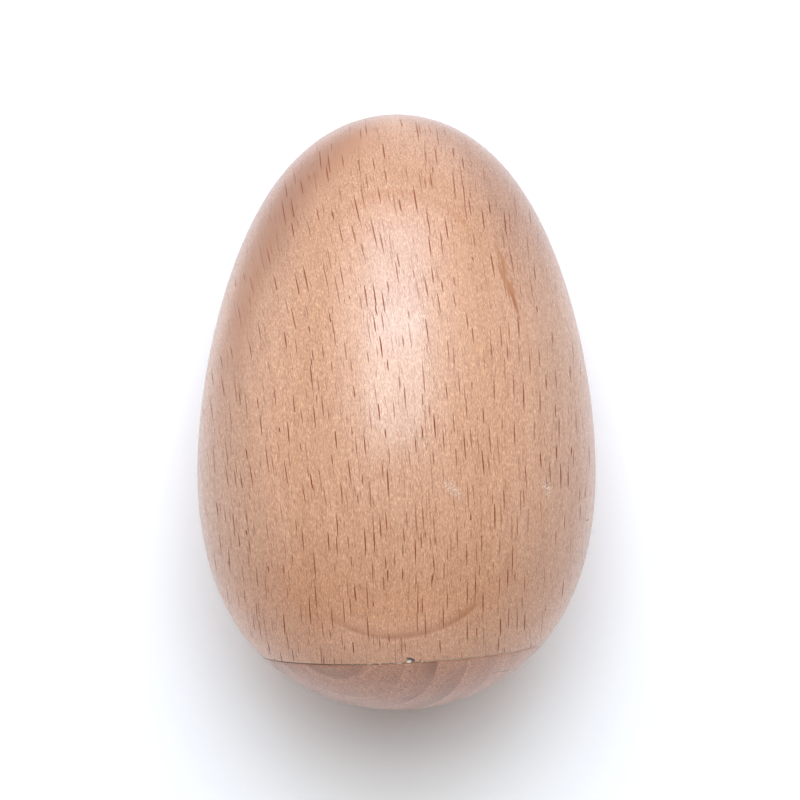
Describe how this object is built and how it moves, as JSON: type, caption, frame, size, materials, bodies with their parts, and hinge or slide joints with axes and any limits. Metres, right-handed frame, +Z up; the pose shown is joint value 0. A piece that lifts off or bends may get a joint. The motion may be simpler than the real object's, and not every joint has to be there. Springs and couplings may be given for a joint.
{
  "type": "egg shaker",
  "caption": "Turned wooden egg shaker: a bored-out beech egg with loose steel shot inside, closed by a glued plug turned flush with its blunt end.",
  "frame": {"origin": "on the surface the egg lies on, under the middle of its length and of its width", "axes": "+Z up; the egg lies on its side with its long axis level along +Y, small end towards +Y and plugged blunt end towards -Y"},
  "size_m": [0.0502, 0.075, 0.0502],
  "materials": {
    "beech_shell": "satin lacquer",
    "beech_plug": "satin lacquer",
    "dried_glue": "matte",
    "steel_shot": "smooth"
  },
  "bodies": {
    "egg": {"egg_shell": "beech_shell", "end_plug": "beech_plug", "glue_line": "dried_glue"},
    "bead_01": {"steel_bead_01": "steel_shot"},
    "bead_02": {"steel_bead_02": "steel_shot"},
    "bead_03": {"steel_bead_03": "steel_shot"},
    "bead_04": {"steel_bead_04": "steel_shot"},
    "bead_05": {"steel_bead_05": "steel_shot"},
    "bead_06": {"steel_bead_06": "steel_shot"},
    "bead_07": {"steel_bead_07": "steel_shot"},
    "bead_08": {"steel_bead_08": "steel_shot"},
    "bead_09": {"steel_bead_09": "steel_shot"},
    "bead_10": {"steel_bead_10": "steel_shot"},
    "bead_11": {"steel_bead_11": "steel_shot"},
    "bead_12": {"steel_bead_12": "steel_shot"},
    "bead_13": {"steel_bead_13": "steel_shot"},
    "bead_14": {"steel_bead_14": "steel_shot"},
    "bead_15": {"steel_bead_15": "steel_shot"},
    "bead_16": {"steel_bead_16": "steel_shot"},
    "bead_17": {"steel_bead_17": "steel_shot"},
    "bead_18": {"steel_bead_18": "steel_shot"},
    "bead_19": {"steel_bead_19": "steel_shot"},
    "bead_20": {"steel_bead_20": "steel_shot"},
    "bead_21": {"steel_bead_21": "steel_shot"},
    "bead_22": {"steel_bead_22": "steel_shot"},
    "bead_23": {"steel_bead_23": "steel_shot"},
    "bead_24": {"steel_bead_24": "steel_shot"}
  },
  "joints": [
    {"name": "bead_01_travel", "type": "slide", "parent": "egg", "child": "bead_01", "axis": [0, 0, 1], "range_m": [0, 0.01466]},
    {"name": "bead_02_travel", "type": "slide", "parent": "egg", "child": "bead_02", "axis": [0, 0, 1], "range_m": [0, 0.02376]},
    {"name": "bead_03_travel", "type": "slide", "parent": "egg", "child": "bead_03", "axis": [0, 0, 1], "range_m": [0, 0.0272]},
    {"name": "bead_04_travel", "type": "slide", "parent": "egg", "child": "bead_04", "axis": [0, 0, 1], "range_m": [0, 0.0272]},
    {"name": "bead_05_travel", "type": "slide", "parent": "egg", "child": "bead_05", "axis": [0, 0, 1], "range_m": [0, 0.02376]},
    {"name": "bead_06_travel", "type": "slide", "parent": "egg", "child": "bead_06", "axis": [0, 0, 1], "range_m": [0, 0.01466]},
    {"name": "bead_07_travel", "type": "slide", "parent": "egg", "child": "bead_07", "axis": [0, 0, 1], "range_m": [0, 0.01466]},
    {"name": "bead_08_travel", "type": "slide", "parent": "egg", "child": "bead_08", "axis": [0, 0, 1], "range_m": [0, 0.02376]},
    {"name": "bead_09_travel", "type": "slide", "parent": "egg", "child": "bead_09", "axis": [0, 0, 1], "range_m": [0, 0.0272]},
    {"name": "bead_10_travel", "type": "slide", "parent": "egg", "child": "bead_10", "axis": [0, 0, 1], "range_m": [0, 0.0272]},
    {"name": "bead_11_travel", "type": "slide", "parent": "egg", "child": "bead_11", "axis": [0, 0, 1], "range_m": [0, 0.02376]},
    {"name": "bead_12_travel", "type": "slide", "parent": "egg", "child": "bead_12", "axis": [0, 0, 1], "range_m": [0, 0.01466]},
    {"name": "bead_13_travel", "type": "slide", "parent": "egg", "child": "bead_13", "axis": [0, 0, 1], "range_m": [0, 0.01466]},
    {"name": "bead_14_travel", "type": "slide", "parent": "egg", "child": "bead_14", "axis": [0, 0, 1], "range_m": [0, 0.02376]},
    {"name": "bead_15_travel", "type": "slide", "parent": "egg", "child": "bead_15", "axis": [0, 0, 1], "range_m": [0, 0.0272]},
    {"name": "bead_16_travel", "type": "slide", "parent": "egg", "child": "bead_16", "axis": [0, 0, 1], "range_m": [0, 0.0272]},
    {"name": "bead_17_travel", "type": "slide", "parent": "egg", "child": "bead_17", "axis": [0, 0, 1], "range_m": [0, 0.02376]},
    {"name": "bead_18_travel", "type": "slide", "parent": "egg", "child": "bead_18", "axis": [0, 0, 1], "range_m": [0, 0.01466]},
    {"name": "bead_19_travel", "type": "slide", "parent": "egg", "child": "bead_19", "axis": [0, 0, 1], "range_m": [0, 0.01466]},
    {"name": "bead_20_travel", "type": "slide", "parent": "egg", "child": "bead_20", "axis": [0, 0, 1], "range_m": [0, 0.02376]},
    {"name": "bead_21_travel", "type": "slide", "parent": "egg", "child": "bead_21", "axis": [0, 0, 1], "range_m": [0, 0.0272]},
    {"name": "bead_22_travel", "type": "slide", "parent": "egg", "child": "bead_22", "axis": [0, 0, 1], "range_m": [0, 0.0272]},
    {"name": "bead_23_travel", "type": "slide", "parent": "egg", "child": "bead_23", "axis": [0, 0, 1], "range_m": [0, 0.02376]},
    {"name": "bead_24_travel", "type": "slide", "parent": "egg", "child": "bead_24", "axis": [0, 0, 1], "range_m": [0, 0.01466]}
  ]
}
